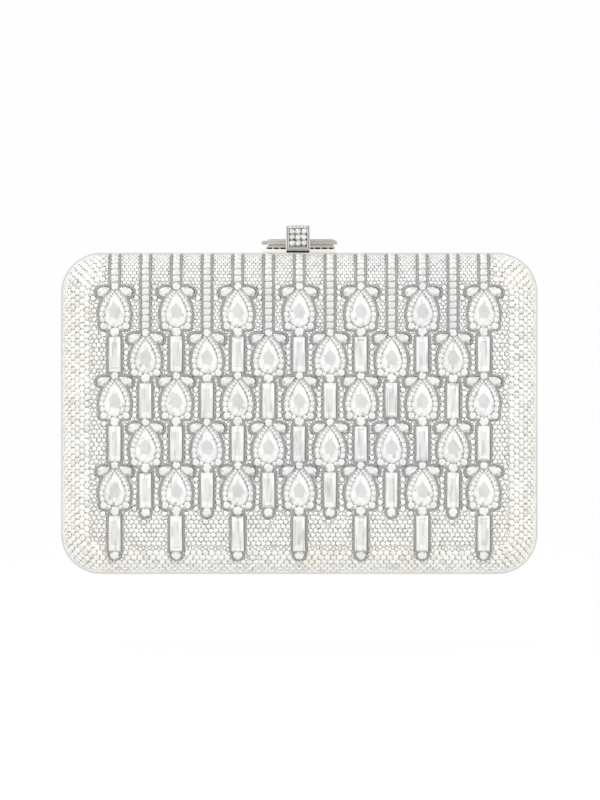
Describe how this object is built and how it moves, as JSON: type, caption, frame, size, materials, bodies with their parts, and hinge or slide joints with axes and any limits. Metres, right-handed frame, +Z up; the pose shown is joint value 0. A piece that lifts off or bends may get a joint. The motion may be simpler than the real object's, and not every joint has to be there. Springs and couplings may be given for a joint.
{
  "type": "crystal clutch",
  "caption": "Rigid evening clutch with rounded corners, set all over with clear crystals in pendant columns, hinged below and shut by a sliding block on top.",
  "frame": {"origin": "middle of the flat bottom that the closed clutch stands on, in the seam between the halves", "axes": "+X to the right seen from the front, +Y away from the front face, +Z up towards the lock"},
  "size_m": [0.178, 0.0383, 0.1304],
  "materials": {
    "crystal_field": "clear foil-backed crystals set close together",
    "crystal_stone": "clear cut crystal with a foil back",
    "silver_plate": "polished silver plate",
    "outline_metal": "grey metal ribbon, satin",
    "shell_metal": "pressed shell, hidden",
    "lining_leather": "pale leather lining",
    "spring_steel": "spring strip",
    "fastener_steel": "turned and polished"
  },
  "bodies": {
    "rear_half": {"rear_shell": "shell_metal", "rear_frame": "silver_plate", "rear_pave": "crystal_field", "rear_lining": "lining_leather", "hinge_rear_leaf": "silver_plate", "hinge_pin": "fastener_steel", "hinge_rear_rivets": "fastener_steel", "rail_foot": "silver_plate", "slide_rail": "silver_plate", "rail_end_stop": "silver_plate", "rail_screws": "fastener_steel"},
    "front_half": {"front_shell": "shell_metal", "front_frame": "silver_plate", "front_pave": "crystal_field", "front_lining": "lining_leather", "hinge_front_leaf": "silver_plate", "hinge_front_rivets": "fastener_steel", "catch_strike": "silver_plate", "strike_rivets": "fastener_steel", "long_outlines": "outline_metal", "short_outlines": "outline_metal", "stem_outlines": "outline_metal", "pear_stones": "crystal_stone", "baguette_stones": "crystal_stone", "leaf_stones": "crystal_stone", "link_stones": "crystal_stone", "apex_stones": "crystal_stone", "end_stones": "crystal_stone", "upper_halo_stones": "crystal_stone", "middle_halo_stones": "crystal_stone", "lower_halo_stones": "crystal_stone", "stem_stones": "crystal_stone"},
    "slider": {"slider_block": "silver_plate", "slider_front_stones": "crystal_stone", "slider_top_stones": "crystal_stone", "catch_spring": "spring_steel", "detent_spring": "spring_steel", "spring_rivet": "fastener_steel"}
  },
  "joints": [
    {"name": "front_hinge", "type": "hinge", "parent": "rear_half", "child": "front_half", "pos_m": [0, 0, 0.00165], "axis": [1, 0, 0], "range_deg": [0, 95], "deforming": ["catch_spring"]},
    {"name": "lock_slide", "type": "slide", "parent": "rear_half", "child": "slider", "axis": [1, 0, 0], "range_m": [-0.0073, 0.0073], "deforming": ["detent_spring"]}
  ]
}
